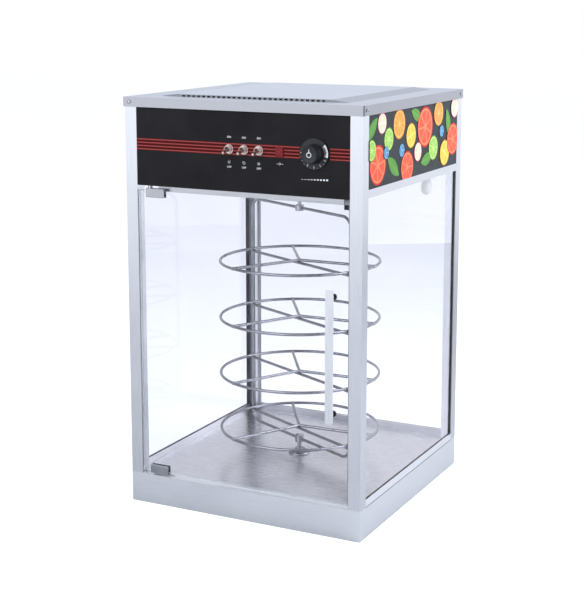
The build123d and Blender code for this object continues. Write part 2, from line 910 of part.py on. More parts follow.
turns = side_turns()
group([Rot(0, 0, turn) * lower_channel(reach, run) for turn, reach, run in turns.values()], "lower_channels")
group([Rot(0, 0, turn) * upper_channel(reach, run) for turn, reach, run in turns.values()], "upper_channels")
group([Rot(0, 0, turn) * gasket(reach, run) for turn, reach, run in turns.values()], "glass_gaskets")
for name, (turn, reach, run) in turns.items():
    save(Rot(0, 0, turn) * pane_box(reach, run), "glass_" + name)
sides = [turns["left"], turns["right"]]
group([Rot(0, 0, turn) * side_panel(reach, run) for turn, reach, run in sides], "side_panels")

save(rear_panel(), "rear_panel")
save(fascia(), "control_fascia")
save(ceiling_pan(), "ceiling_pan")
save(stop_rail(), "door_stop_rail")
save(roof_cap(), "roof_cap")
save(vent_hood(), "vent_hood")
group([cap_screw(*site) for site in screw_sites()], "cap_screws")

save(door_glass(), "door_glass")
group([hinge_clamp(edge, up) for edge, up in clamp_ends().values()], "hinge_clamps")
group([clamp_liner(edge, up) for edge, up in clamp_ends().values()], "clamp_liners")
group([hinge_pin(clamp_low, 1, clamp_foot), hinge_pin(clamp_high, -1, clamp_head)], "hinge_pins")
save(handle_strip(), "handle_strip")
group([handle_stud(z) for z in stud_heights()], "handle_studs")
save(strike_plate(), "strike_plate")
save(magnet_catch(), "magnet_catch")

for name, x in zip(("light", "motor", "heat"), switch_places()):
    save(switch_body(x), "switch_body_" + name)
    save(switch_lever(x), "switch_lever_" + name)
group([switch_nut(x) for x in switch_places()], "switch_nuts")
save(pilot_lens(), "pilot_lens")
save(pilot_body(), "pilot_body")
save(thermostat_body(), "thermostat_body")
save(dial_skirt(), "dial_skirt")
save(knob_grip(), "knob_grip")
save(thermostat_spindle(), "thermostat_spindle")
save(thermostat_sensor(), "thermostat_sensor")
save(lamp_socket(), "lamp_socket")
save(lamp_bulb(), "lamp_bulb")

save(hoop_frame(), "hoop_frame")
for i in range(rack_count):
    save(rack(i), "rack_" + str(i + 1))
save(drive_shaft(), "drive_shaft")
save(top_pin(), "top_pin")
save(bearing_flange(), "bearing_flange")
group([flange_bolt(x, y) for x, y in flange_bolts()], "flange_bolts")
save(motor_bracket(), "motor_bracket")
save(gear_motor(), "gear_motor")
save(top_bush(), "top_bush")
save(heating_element(), "heating_element")
group([element_clamp(x) for x in (-element_reach, element_reach)], "element_clamps")
save(cord_gland(), "cord_gland")
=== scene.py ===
import bpy
import bmesh
import math
from mathutils import Matrix, Vector


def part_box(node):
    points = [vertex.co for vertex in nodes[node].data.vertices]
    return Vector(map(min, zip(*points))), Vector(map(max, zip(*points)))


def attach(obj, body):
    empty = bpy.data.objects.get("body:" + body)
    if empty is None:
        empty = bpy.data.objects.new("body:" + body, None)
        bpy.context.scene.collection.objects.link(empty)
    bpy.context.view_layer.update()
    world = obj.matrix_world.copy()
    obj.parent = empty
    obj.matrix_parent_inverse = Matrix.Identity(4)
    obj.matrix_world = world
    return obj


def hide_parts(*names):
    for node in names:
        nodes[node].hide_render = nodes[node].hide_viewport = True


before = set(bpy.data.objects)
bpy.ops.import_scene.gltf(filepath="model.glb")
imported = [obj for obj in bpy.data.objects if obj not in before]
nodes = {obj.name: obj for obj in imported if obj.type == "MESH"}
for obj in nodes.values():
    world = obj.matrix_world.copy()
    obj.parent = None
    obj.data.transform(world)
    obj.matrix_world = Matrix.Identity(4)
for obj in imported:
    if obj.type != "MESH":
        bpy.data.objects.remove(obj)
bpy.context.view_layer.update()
print("stage: frame loaded,", len(nodes), "nodes")


# Node and material helpers
def addNode(tree, kind, sockets=None, **settings):
    node = tree.nodes.new(kind)
    for key, value in settings.items():
        setattr(node, key, value)
    for label, value in (sockets or {}).items():
        if isinstance(value, bpy.types.NodeSocket):
            tree.links.new(value, node.inputs[label])
        else:
            node.inputs[label].default_value = value
    return node


def outputFrom(tree, kind, sockets=None, **settings):
    return addNode(tree, kind, sockets, **settings).outputs[0]  # the node's first output


def newMaterial(name, sockets):
    material = bpy.data.materials.new(name)
    material.use_nodes = True
    shader = material.node_tree.nodes["Principled BSDF"]
    for label, value in sockets.items():
        shader.inputs[label].default_value = value
    return material, material.node_tree, shader


def openMaterial(material):
    tree = material.node_tree
    shader = tree.nodes["Principled BSDF"]
    return tree, shader, shader.inputs["Base Color"].links[0].from_socket


def objectCoords(tree, scale=(1, 1, 1)):
    coords = addNode(tree, "ShaderNodeTexCoord").outputs["Object"]
    return outputFrom(tree, "ShaderNodeMapping", {"Vector": coords, "Scale": scale})


def splitFrom(tree, vector):
    return addNode(tree, "ShaderNodeSeparateXYZ", {"Vector": vector}).outputs


def noiseFrom(tree, noise, vector=None):
    scale, detail, roughness = noise
    return outputFrom(tree, "ShaderNodeTexNoise", {
        "Vector": vector or objectCoords(tree), "Scale": scale, "Detail": detail, "Roughness": roughness})


def rampFrom(tree, value, places, *colours):
    ramp = addNode(tree, "ShaderNodeValToRGB", {"Fac": value})
    for stop, place, colour in zip(ramp.color_ramp.elements, places, colours):
        stop.position = place
        stop.color = (*colour, 1)
    return ramp.outputs["Color"]


def rangeFrom(tree, value, low, high, fromLow=0.0, fromHigh=1.0):
    return outputFrom(tree, "ShaderNodeMapRange", {
        "Value": value, "From Min": fromLow, "From Max": fromHigh, "To Min": low, "To Max": high})


def mathFrom(tree, operation, first, second=None, clamp=False):
    sockets = {0: first} if second is None else {0: first, 1: second}
    return outputFrom(tree, "ShaderNodeMath", sockets, operation=operation, use_clamp=clamp)


def mixColours(tree, factor, first, second):
    sockets = {6: first, 7: second}
    for slot, value in sockets.items():
        if isinstance(value, tuple):
            sockets[slot] = (*value, 1)
    mix = addNode(tree, "ShaderNodeMix", {"Factor": factor, **sockets}, data_type="RGBA")
    return mix.outputs[2]


def blendFrom(tree, first, second, share):
    return mathFrom(tree, "ADD", mathFrom(tree, "MULTIPLY", first, share),
                    mathFrom(tree, "MULTIPLY", second, 1 - share))


def awayFrom(tree, value, centre):
    return mathFrom(tree, "ABSOLUTE", mathFrom(tree, "SUBTRACT", value, centre))


def setColour(tree, shader, colour):
    tree.links.new(colour, shader.inputs["Base Color"])


noiseRange = (0.3, 0.7)  # most of a noise lies between these


def setRoughness(tree, shader, pattern, low, high):
    tree.links.new(rangeFrom(tree, pattern, low, high, *noiseRange), shader.inputs["Roughness"])


def bumpFrom(tree, shader, height, strength, depth):
    bump = outputFrom(tree, "ShaderNodeBump", {"Height": height, "Strength": strength, "Distance": depth})
    tree.links.new(bump, shader.inputs["Normal"])


def boxMiddle(name):
    low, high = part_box(name)
    return (low + high) / 2, high - low


# Brushed sheet steel: fine streaks along one axis, faint cloudy smears over them. In every look a noise
# is its scale, detail and roughness, and stops are where on it the first colour ends and the second is full
steelLook = {"colour": (0.66, 0.668, 0.69), "dark": (0.54, 0.55, 0.575), "roughness": 0.33,
             "streak": (1500.0, 2.0, 0.6), "stretch": 0.012, "smear": (7.0, 4.0, 0.55), "streakShare": 0.75,
             "stops": (0.3, 0.62), "smoother": 0.07, "rougher": 0.1, "bump": 0.05, "depth": 0.0004}


def brushedSteel(name, along, colour=steelLook["colour"], dark=steelLook["dark"],
                 roughness=steelLook["roughness"]):
    look = steelLook
    material, tree, shader = newMaterial(name, {"Metallic": 1.0})
    scale = [1.0, 1.0, 1.0]
    scale["xyz".index(along)] = look["stretch"]
    streaks = noiseFrom(tree, look["streak"], objectCoords(tree, scale))
    smears = noiseFrom(tree, look["smear"])
    blend = blendFrom(tree, streaks, smears, look["streakShare"])
    setColour(tree, shader, rampFrom(tree, blend, look["stops"], dark, colour))
    setRoughness(tree, shader, blend, roughness - look["smoother"], roughness + look["rougher"])
    bumpFrom(tree, shader, streaks, look["bump"], look["depth"])
    return material


# Bright drawn wire and small turned parts
wireLook = {"colour": (0.27, 0.275, 0.295), "roughness": 0.12, "draw": (900.0, 2.0, 0.6),
            "patch": (45.0, 3.0, 0.5), "drawShare": 0.4, "shade": 0.7, "stops": (0.3, 0.65),
            "smoother": 0.05, "rougher": 0.1, "bump": 0.04, "depth": 0.0002}


def brightSteel(name, colour=wireLook["colour"], roughness=wireLook["roughness"]):
    look = wireLook
    material, tree, shader = newMaterial(name, {"Metallic": 1.0})
    dark = tuple(look["shade"] * part for part in colour)
    grain = noiseFrom(tree, look["draw"])
    patches = noiseFrom(tree, look["patch"])
    blend = blendFrom(tree, grain, patches, look["drawShare"])
    setColour(tree, shader, rampFrom(tree, blend, look["stops"], dark, colour))
    setRoughness(tree, shader, patches, roughness - look["smoother"], roughness + look["rougher"])
    bumpFrom(tree, shader, grain, look["bump"], look["depth"])
    return material


# Moulded plastic and rubber: a fine grain, a little uneven gloss
mouldLook = {"grain": (2.0, 0.5), "patch": (30.0, 3.0, 0.5), "lighter": 1.25, "lift": 0.004,
             "stops": (0.35, 0.7), "smoother": 0.05, "rougher": 0.06, "depth": 0.00025}


def moulded(name, colour, roughness, grain=1800.0, bump=0.12, specular=0.5):
    look = mouldLook
    material, tree, shader = newMaterial(name, {"Specular IOR Level": specular})
    fine = noiseFrom(tree, (grain, *look["grain"]))
    patches = noiseFrom(tree, look["patch"])
    lighter = tuple(min(1.0, part * look["lighter"] + look["lift"]) for part in colour)
    setColour(tree, shader, rampFrom(tree, patches, look["stops"], colour, lighter))
    setRoughness(tree, shader, fine, roughness - look["smoother"], roughness + look["rougher"])
    bumpFrom(tree, shader, fine, bump, look["depth"])
    return material


# Control fascia: gloss black with a band of four thin lines over dark red
fasciaLook = {"black": (0.0085, 0.0078, 0.009), "smeared": (0.014, 0.013, 0.0145), "smear": (14.0, 4.0, 0.6),
              "line": (0.24, 0.045, 0.042), "band": (0.05, 0.003, 0.003), "centre": 0.7204, "pitch": 0.00625,
              "thick": 0.0021, "count": 4, "margin": 0.0022, "dial": 0.155, "dialGap": 0.0302,
              "stops": (0.3, 0.75), "specular": 0.06, "gloss": (0.12, 0.24), "ripple": (60.0, 2.0, 0.5),
              "bump": 0.02, "depth": 0.0005}


def fasciaMaterial():
    look = fasciaLook
    material, tree, shader = newMaterial("glossFascia", {"Specular IOR Level": look["specular"]})
    split = splitFrom(tree, objectCoords(tree))
    span = look["pitch"] * (look["count"] - 1)
    start = look["centre"] - span / 2 - look["pitch"] / 2
    step = mathFrom(tree, "DIVIDE", mathFrom(tree, "SUBTRACT", split["Z"], start), look["pitch"])
    inPitch = awayFrom(tree, mathFrom(tree, "FRACT", step), 0.5)
    onLine = mathFrom(tree, "LESS_THAN", inPitch, look["thick"] / look["pitch"] / 2)
    fromCentre = awayFrom(tree, split["Z"], look["centre"])
    inBand = mathFrom(tree, "LESS_THAN", fromCentre, span / 2 + look["margin"])
    clearOfDial = mathFrom(tree, "GREATER_THAN", awayFrom(tree, split["X"], look["dial"]), look["dialGap"])
    inBand = mathFrom(tree, "MULTIPLY", inBand, clearOfDial)
    onLine = mathFrom(tree, "MULTIPLY", onLine, inBand)
    smears = noiseFrom(tree, look["smear"])
    black = rampFrom(tree, smears, look["stops"], look["black"], look["smeared"])
    banded = mixColours(tree, inBand, black, look["band"])
    setColour(tree, shader, mixColours(tree, onLine, banded, look["line"]))
    setRoughness(tree, shader, smears, *look["gloss"])
    bumpFrom(tree, shader, noiseFrom(tree, look["ripple"]), look["bump"], look["depth"])
    return material


# Clear glass with ground edges: light goes straight through it to what stands inside
glassLook = {"tint": (0.90, 0.905, 0.942), "deeper": 0.02, "smear": (9.0, 4.0, 0.6), "stops": (0.3, 0.7),
             "ior": 1.22, "edge": (0.36, 0.42, 0.43), "ground": 0.0004, "edgeClear": 0.35, "edgeRough": 0.3,
             "lightThrough": 0.93, "thickest": 0.02}


def glassMaterial(pane):
    look = glassLook
    material, tree, shader = newMaterial(pane + "Clear", {"IOR": look["ior"]})
    deeper = tuple(part - look["deeper"] for part in look["tint"])
    clear = rampFrom(tree, noiseFrom(tree, look["smear"]), look["stops"], deeper, look["tint"])
    centre, size = boxMiddle(pane)
    split = splitFrom(tree, objectCoords(tree))
    edge = 0.0
    for k, axis in enumerate("XYZ"):
        if size[k] > look["thickest"]:  # the pane's own thickness is left out
            away = awayFrom(tree, split[axis], centre[k])
            side = mathFrom(tree, "GREATER_THAN", away, size[k] / 2 - look["ground"])
            edge = mathFrom(tree, "MAXIMUM", edge, side)
    setColour(tree, shader, mixColours(tree, edge, clear, look["edge"]))
    tree.links.new(rangeFrom(tree, edge, 1.0, look["edgeClear"]), shader.inputs["Transmission Weight"])
    tree.links.new(rangeFrom(tree, edge, 0.0, look["edgeRough"]), shader.inputs["Roughness"])
    shadow = addNode(tree, "ShaderNodeLightPath").outputs["Is Shadow Ray"]
    seen = mathFrom(tree, "SUBTRACT", 1.0, mathFrom(tree, "MULTIPLY", shadow, look["lightThrough"]))
    tree.links.new(seen, shader.inputs["Alpha"])
    return material


# Pilot lens: dark red with a pattern of small cells
lensLook = {"middle": (0.24, 0.008, 0.01), "rim": (0.11, 0.003, 0.005), "cells": 520.0, "stops": (0.0, 0.7),
            "clear": 0.1, "specular": 0.2, "roughness": 0.12, "bump": 0.3, "depth": 0.0006}


def lensMaterial():
    look = lensLook
    material, tree, shader = newMaterial("redLens", {
        "Roughness": look["roughness"], "Transmission Weight": look["clear"],
        "Specular IOR Level": look["specular"]})
    cells = outputFrom(tree, "ShaderNodeTexVoronoi", {"Vector": objectCoords(tree), "Scale": look["cells"]})
    setColour(tree, shader, rampFrom(tree, cells, look["stops"], look["middle"], look["rim"]))
    bumpFrom(tree, shader, cells, look["bump"], look["depth"])
    return material


# Lamp bulb: frosted white glass
bulbLook = {"dim": (0.72, 0.715, 0.70), "bright": (0.82, 0.81, 0.79), "mist": (160.0, 3.0, 0.5),
            "stops": (0.3, 0.7), "clear": 0.4, "roughness": 0.3}


def frostedMaterial():
    look = bulbLook
    material, tree, shader = newMaterial("frostedBulb", {
        "Roughness": look["roughness"], "Transmission Weight": look["clear"]})
    mist = noiseFrom(tree, look["mist"])
    setColour(tree, shader, rampFrom(tree, mist, look["stops"], look["dim"], look["bright"]))
    return material


# Bent steel with painted light: its faces take lighter or darker tones by the way they look, as painted shade
# and painted highlight. Each face has an axis, the range of the normal over which it takes its own tone, and
# that tone
def facedSteel(name, faces, along="z", *finish):
    material = brushedSteel(name, along, *finish)
    tree, shader, colour = openMaterial(material)
    split = splitFrom(tree, addNode(tree, "ShaderNodeNewGeometry").outputs["Normal"])
    for axis, start, end, tone in faces:
        colour = mixColours(tree, rangeFrom(tree, split[axis], 0.0, 1.0, start, end), colour, tone)
    setColour(tree, shader, colour)
    return material


# Switch bodies: dark red housings with a plated bushing in front of the fascia
switchLook = {"red": (0.22, 0.03, 0.025), "plate": (0.74, 0.62, 0.57), "roughness": 0.3, "front": -0.2475}


def switchMaterial():
    material = moulded("switchBody", switchLook["red"], switchLook["roughness"])
    tree, shader, colour = openMaterial(material)
    depth = splitFrom(tree, objectCoords(tree))["Y"]
    plated = mathFrom(tree, "LESS_THAN", depth, switchLook["front"])
    setColour(tree, shader, mixColours(tree, plated, colour, switchLook["plate"]))
    tree.links.new(plated, shader.inputs["Metallic"])
    return material


# Seals: dark along the sides, pale at the rear
sealLook = {"dark": (0.03, 0.03, 0.032), "pale": (0.42, 0.43, 0.45), "roughness": 0.5, "rearFrom": 0.2395}


def sealMaterial():
    material = moulded("paneSeal", sealLook["dark"], sealLook["roughness"])
    tree, shader, colour = openMaterial(material)
    depth = splitFrom(tree, objectCoords(tree))["Y"]
    rear = mathFrom(tree, "GREATER_THAN", depth, sealLook["rearFrom"])
    setColour(tree, shader, mixColours(tree, rear, colour, sealLook["pale"]))
    return material


# Painted light: the faced steels are lighter and darker copies of one sheet steel, with painted shade on
# fronts, right sides and the hood's slope, a painted highlight on the cap's top and a painted dark reflection
# on the rear-left post's front
front, right, top, slope = ("Y", -0.2, -0.8), ("X", 0.2, 0.8), ("Z", 0.2, 0.8), ("X", 0.04, 0.1)
finishes = {
    brushedSteel("brushedSteelX", "x"): (
        "base_bottom_cover", "upper_channels", "rear_panel", "ceiling_pan", "motor_bracket",
        "element_clamps"),
    brushedSteel("brushedSteelZ", "z"): ("post_front_left", "post_front_right", "post_rear_right"),
    brushedSteel("floorSteel", "x", (0.65, 0.655, 0.70), (0.57, 0.577, 0.62), 0.24): ("floor_plate",),
    brushedSteel("satinAluminium", "z", (0.78, 0.785, 0.80), (0.66, 0.665, 0.68), 0.3): ("handle_strip",),
    facedSteel("rearPostSteel", [(*front, (0.10, 0.104, 0.118))]): ("post_rear_left",),
    facedSteel("hoodSteel", [(*slope, (0.58, 0.575, 0.60)), (*front, (0.24, 0.245, 0.265))],
               "x", (0.86, 0.87, 0.90), (0.78, 0.79, 0.82)): ("vent_hood",),
    facedSteel("capSteel", [(*top, (0.76, 0.77, 0.80)), (*right, (0.335, 0.335, 0.36))],
               "x", (0.405, 0.41, 0.43), (0.34, 0.347, 0.365), 0.34): ("roof_cap",),
    facedSteel("railSteel", [(*front, (0.40, 0.405, 0.425))],
               "x", (0.86, 0.865, 0.885), (0.78, 0.785, 0.805)): ("lower_channels",),
    facedSteel("stopRailSteel", [(*front, (0.46, 0.465, 0.485))],
               "x", (0.5, 0.505, 0.525), (0.42, 0.425, 0.44)): ("door_stop_rail",),
    facedSteel("baseSteel", [(*right, (0.76, 0.765, 0.785))],
               "x", (0.76, 0.77, 0.79), (0.66, 0.67, 0.695), 0.38): ("base_skirt",),
    brightSteel("polishedClamp", (0.4, 0.405, 0.42), 0.2): ("hinge_clamps",),
    brightSteel("warmNickel", (0.74, 0.62, 0.57), 0.2): (
        "switch_nuts", "switch_lever_light", "switch_lever_motor", "switch_lever_heat"),
    brightSteel("turnedBrass", (0.72, 0.55, 0.27), 0.22): ("top_bush",),
    brightSteel("zincPlate", (0.48, 0.485, 0.47), 0.35): ("gear_motor", "thermostat_body"),
    moulded("whiteCeramic", (0.72, 0.71, 0.68), 0.3, 400.0, 0.05): ("lamp_socket",),
    moulded("heaterSheath", (0.05, 0.052, 0.05), 0.5, 900.0): ("heating_element",),
    moulded("greyPlastic", (0.22, 0.22, 0.23), 0.4): ("magnet_catch",),
    moulded("slateGround", (0.014, 0.018, 0.02), 0.3, 300.0, 0.05, 0.06): ("side_panels",),
    fasciaMaterial(): ("control_fascia",),
    lensMaterial(): ("pilot_lens",),
    frostedMaterial(): ("lamp_bulb",),
    sealMaterial(): ("glass_gaskets",),
    switchMaterial(): ("switch_body_light", "switch_body_motor", "switch_body_heat"),
}
wireSteel = brightSteel("drawnWire")
turnedSteel = brightSteel("turnedSteel", (0.70, 0.70, 0.71), 0.14)
chrome = brightSteel("chromedHub", (0.38, 0.385, 0.405), 0.08)
rubber = moulded("sealRubber", (0.03, 0.03, 0.032), 0.55)
blackPlastic = moulded("blackPlastic", (0.009, 0.01, 0.012), 0.3, specular=0.3)
whiteInk = moulded("whiteInk", (0.60, 0.61, 0.62), 0.45, 900.0, 0.03)
finishes[wireSteel] = ("hoop_frame", "rack_1", "rack_2", "rack_3", "rack_4")
finishes[turnedSteel] = (
    "hinge_pins", "strike_plate", "thermostat_spindle", "thermostat_sensor", "cap_screws")
finishes[chrome] = ("drive_shaft", "top_pin", "bearing_flange", "flange_bolts")
finishes[rubber] = ("clamp_liners",)
finishes[blackPlastic] = ("handle_studs", "pilot_body", "dial_skirt", "knob_grip", "cord_gland")
for pane in ("glass_left", "glass_right", "glass_rear", "door_glass"):
    finishes[glassMaterial(pane)] = (pane,)
for material, names in finishes.items():
    for name in names:
        slots = nodes[name].data.materials
        slots.clear()
        slots.append(material)
print("stage: materials")


# Mesh helpers: a piece is made where it stands, with its object at the origin
smoothBelow = math.radians(35)  # edges that turn more than this stay sharp


def linked(name, data):
    thing = bpy.data.objects.new(name, data)
    bpy.context.scene.collection.objects.link(thing)
    return thing


def plainMesh(thing):
    return bpy.data.meshes.new_from_object(thing.evaluated_get(bpy.context.evaluated_depsgraph_get()))


def meshFrom(name, bm):
    mesh = bpy.data.meshes.new(name)
    bm.to_mesh(mesh)
    bm.free()
    return mesh


def pieceFrom(name, mesh, material, body, smooth=True):
    piece = linked(name, mesh)
    mesh.materials.clear()
    mesh.materials.append(material)
    if smooth:
        mesh.shade_smooth()
        mesh.set_sharp_from_angle(angle=smoothBelow)
    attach(piece, body)
    return piece


nearAxis = 0.0001  # a turned piece starts this far from its axis, so that its ends close cleanly
weldWithin = 1e-7


def lathe(profile, segments=48, modulate=None):
    bm = bmesh.new()
    rings = []
    for radius, height in profile:
        ring = []
        for k in range(segments):
            turn = 2 * math.pi * k / segments
            reach = radius + (modulate(turn, radius, height) if modulate else 0.0)
            ring.append(bm.verts.new((reach * math.cos(turn), reach * math.sin(turn), height)))
        rings.append(ring)
    for lower, upper in zip(rings, rings[1:]):
        for k in range(segments):
            after = (k + 1) % segments
            bm.faces.new((lower[k], lower[after], upper[after], upper[k]))
    bm.faces.new(list(reversed(rings[0])))
    bm.faces.new(rings[-1])
    bmesh.ops.remove_doubles(bm, verts=bm.verts, dist=weldWithin)
    bmesh.ops.recalc_face_normals(bm, faces=bm.faces)
    return meshFrom("lathe", bm)


def aboutZ(degrees):
    return Matrix.Rotation(math.radians(degrees), 4, "Z")


def facingMatrix(x, y, z):  # local +Z looks to the front
    return Matrix.Translation((x, y, z)) @ Matrix.Rotation(math.radians(90), 4, "X")


def boxInto(bm, place, size, turn=0.0):
    shape = Matrix.Translation(place) @ aboutZ(turn) @ Matrix.Diagonal((*size, 1))
    bmesh.ops.create_cube(bm, size=1.0, matrix=shape)


inkDepth = 0.00015
textDepth = 0.00012


def textMesh(words, size):
    curve = bpy.data.curves.new("words", "FONT")
    curve.body = words
    curve.size = size
    curve.align_x = "CENTER"
    curve.align_y = "CENTER"
    curve.extrude = textDepth / 2
    holder = linked("words", curve)
    mesh = plainMesh(holder)
    bpy.data.objects.remove(holder)
    return mesh


def barMesh(width, height, place=(0, 0, 0), turn=0.0):
    bm = bmesh.new()
    boxInto(bm, place, (width, height, inkDepth), turn)
    return meshFrom("bar", bm)


def ringMesh(inner, outer, tall=inkDepth, segments=64, start=0.0, sweep=360.0):
    bm = bmesh.new()
    closed = sweep >= 360
    count = segments if closed else segments + 1
    loops = []
    for k in range(count):
        turn = math.radians(start + sweep * k / segments)
        loops.append([bm.verts.new((r * math.cos(turn), r * math.sin(turn), h))
                      for r, h in ((inner, 0), (outer, 0), (outer, tall), (inner, tall))])
    for k in range(segments):
        here = loops[k]
        there = loops[(k + 1) % count]
        for j in range(4):
            bm.faces.new((here[j], there[j], there[(j + 1) % 4], here[(j + 1) % 4]))
    if not closed:
        bm.faces.new(loops[0])
        bm.faces.new(list(reversed(loops[-1])))
    bmesh.ops.recalc_face_normals(bm, faces=bm.faces)
    return meshFrom("ring", bm)


def joinMeshes(name, meshes):
    bm = bmesh.new()
    for mesh in meshes:
        bm.from_mesh(mesh)
    return meshFrom(name, bm)


# Geometry Nodes helpers
def newTree(name, inputs):
    tree = bpy.data.node_groups.new(name, "GeometryNodeTree")
    tree.interface.new_socket("Geometry", in_out="INPUT", socket_type="NodeSocketGeometry")
    tree.interface.new_socket("Geometry", in_out="OUTPUT", socket_type="NodeSocketGeometry")
    for label, kind, value in inputs:
        socket = tree.interface.new_socket(label, in_out="INPUT", socket_type="NodeSocket" + kind)
        if value is not None:
            socket.default_value = value
    return tree, addNode(tree, "NodeGroupInput").outputs


def finishTree(tree, geometry, given):
    real = outputFrom(tree, "GeometryNodeRealizeInstances", {"Geometry": geometry})
    smooth = outputFrom(tree, "GeometryNodeSetShadeSmooth", {"Geometry": real})
    painted = outputFrom(tree, "GeometryNodeSetMaterial", {"Geometry": smooth, "Material": given["Material"]})
    addNode(tree, "NodeGroupOutput", {"Geometry": painted})
    return tree


def circleFrom(tree, radius, sides):
    return outputFrom(tree, "GeometryNodeCurvePrimitiveCircle", {"Resolution": sides, "Radius": radius})


def vectorFrom(tree, **axes):
    return outputFrom(tree, "ShaderNodeCombineXYZ", axes)


def tubeFrom(tree, curve, profile, capped=False):
    return outputFrom(tree, "GeometryNodeCurveToMesh", {
        "Curve": curve, "Profile Curve": profile, "Fill Caps": capped})


def placedFrom(tree, geometry, **change):
    return outputFrom(tree, "GeometryNodeTransform", {"Geometry": geometry, **change})


def lineFrom(tree, **ends):
    return outputFrom(tree, "GeometryNodeCurvePrimitiveLine", ends)


def setOnPoints(tree, points, thing, **change):
    return outputFrom(tree, "GeometryNodeInstanceOnPoints", {"Points": points, "Instance": thing, **change})


def joinFrom(tree, *parts):
    join = tree.nodes.new("GeometryNodeJoinGeometry")
    for part in parts:
        tree.links.new(part, join.inputs["Geometry"])
    return join.outputs["Geometry"]


def runTree(name, tree, values, body, startMesh=None):
    holder = linked(name + "Source", startMesh or bpy.data.meshes.new(name))
    modifier = holder.modifiers.new("nodes", "NODES")
    modifier.node_group = tree
    sockets = {item.name: item.identifier for item in tree.interface.items_tree if item.in_out == "INPUT"}
    for label, value in values.items():
        modifier[sockets[label]] = value
    mesh = plainMesh(holder)
    holder.modifiers.clear()
    bpy.data.objects.remove(holder)
    piece = linked(name, mesh)
    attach(piece, body)
    return piece


# Wire racks: a ring on three spokes, with a weld bead where they meet
rackCentre, rackSize = boxMiddle("rack_1")
rack = {"wire": rackSize.z / 2, "ring": rackSize.x / 2 - rackSize.z / 2, "spokes": 3,
        "first": math.radians(2), "bead": 0.0038, "beadSegments": 16, "beadRings": 10, "sides": 14,
        "steps": 144, "count": 4}


def rackTree():
    tree, given = newTree("wireRack", [
        ("Ring Radius", "Float", rack["ring"]), ("Wire Radius", "Float", rack["wire"]),
        ("Height", "Float", 0.0), ("Spokes", "Int", rack["spokes"]), ("First Angle", "Float", rack["first"]),
        ("Bead Radius", "Float", rack["bead"]), ("Material", "Material", None)])
    profile = circleFrom(tree, given["Wire Radius"], rack["sides"])
    ring = tubeFrom(tree, circleFrom(tree, given["Ring Radius"], rack["steps"]), profile)
    end = vectorFrom(tree, X=given["Ring Radius"])
    bead = outputFrom(tree, "GeometryNodeMeshUVSphere", {
        "Segments": rack["beadSegments"], "Rings": rack["beadRings"], "Radius": given["Bead Radius"]})
    rod = tubeFrom(tree, lineFrom(tree, End=end), profile, True)
    spoke = joinFrom(tree, rod, placedFrom(tree, bead, Translation=end))
    points = outputFrom(tree, "GeometryNodePoints", {"Count": given["Spokes"]})
    share = mathFrom(tree, "DIVIDE", 2 * math.pi, given["Spokes"])
    index = outputFrom(tree, "GeometryNodeInputIndex")
    turn = mathFrom(tree, "ADD", mathFrom(tree, "MULTIPLY", index, share), given["First Angle"])
    spokes = setOnPoints(tree, points, spoke, Rotation=vectorFrom(tree, Z=turn))
    lift = vectorFrom(tree, Z=given["Height"])
    return finishTree(tree, placedFrom(tree, joinFrom(tree, ring, spokes, bead), Translation=lift), given)


wireRack = rackTree()
for number in range(1, rack["count"] + 1):
    name = "rack_" + str(number)
    height = boxMiddle(name)[0].z
    piece = runTree("wireRack" + str(number), wireRack, {"Height": height, "Material": wireSteel}, "carousel")
    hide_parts(name)

# Hoop: one bent wire with a straight bar under each rack
hoopLow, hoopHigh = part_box("hoop_frame")
hoop = {"angle": math.radians(-26.8), "corner": 0.026, "cornerSteps": 12,
        "pitch": 0.1165, "firstBar": rackCentre.z - 2 * rack["wire"], "low": 0.093, "high": 0.578}
hoop["reach"] = ((hoopHigh.x - hoopLow.x) / 2 - rack["wire"]) / math.cos(hoop["angle"])


def hoopTree():
    tree, given = newTree("hoopWire", [
        ("Width", "Float", 2 * hoop["reach"]), ("Height", "Float", hoop["high"] - hoop["low"]),
        ("Middle", "Float", (hoop["high"] + hoop["low"]) / 2), ("Corner", "Float", hoop["corner"]),
        ("Wire Radius", "Float", rack["wire"]), ("Bars", "Int", rack["count"]),
        ("First Bar", "Float", hoop["firstBar"]), ("Bar Pitch", "Float", hoop["pitch"]),
        ("Turn", "Float", hoop["angle"]), ("Material", "Material", None)])
    profile = circleFrom(tree, given["Wire Radius"], rack["sides"])
    outline = outputFrom(tree, "GeometryNodeCurvePrimitiveQuadrilateral", {
        "Width": given["Width"], "Height": given["Height"]})
    rounded = outputFrom(tree, "GeometryNodeFilletCurve", {
        "Count": hoop["cornerSteps"], "Curve": outline, "Radius": given["Corner"]}, mode="POLY")
    middle = vectorFrom(tree, Z=given["Middle"])
    stand = placedFrom(tree, rounded, Rotation=(math.radians(90), 0, 0), Translation=middle)
    half = mathFrom(tree, "DIVIDE", given["Width"], 2.0)
    start = vectorFrom(tree, X=mathFrom(tree, "MULTIPLY", half, -1.0))
    line = lineFrom(tree, Start=start, End=vectorFrom(tree, X=half))
    ladder = outputFrom(tree, "GeometryNodeMeshLine", {
        "Count": given["Bars"], "Start Location": vectorFrom(tree, Z=given["First Bar"]),
        "Offset": vectorFrom(tree, Z=given["Bar Pitch"])})
    bars = setOnPoints(tree, ladder, tubeFrom(tree, line, profile, True))
    frameWire = joinFrom(tree, tubeFrom(tree, stand, profile), bars)
    return finishTree(tree, placedFrom(tree, frameWire, Rotation=vectorFrom(tree, Z=given["Turn"])), given)


hoopPiece = runTree("hoopWire", hoopTree(), {"Material": wireSteel}, "carousel")
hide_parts("hoop_frame")

# Collars where the hoop meets its shaft and its pin
collar = {"radius": 0.009, "low": 0.0855, "lowHeight": 0.015, "high": 0.572, "highHeight": 0.012,
          "round": 0.0008, "sides": 40}


def collarMesh(low, height):
    reach = collar["radius"]
    edge = collar["round"]
    return lathe([(nearAxis, low), (reach - edge, low), (reach, low + edge), (reach, low + height - edge),
                  (reach - edge, low + height), (nearAxis, low + height)], collar["sides"])


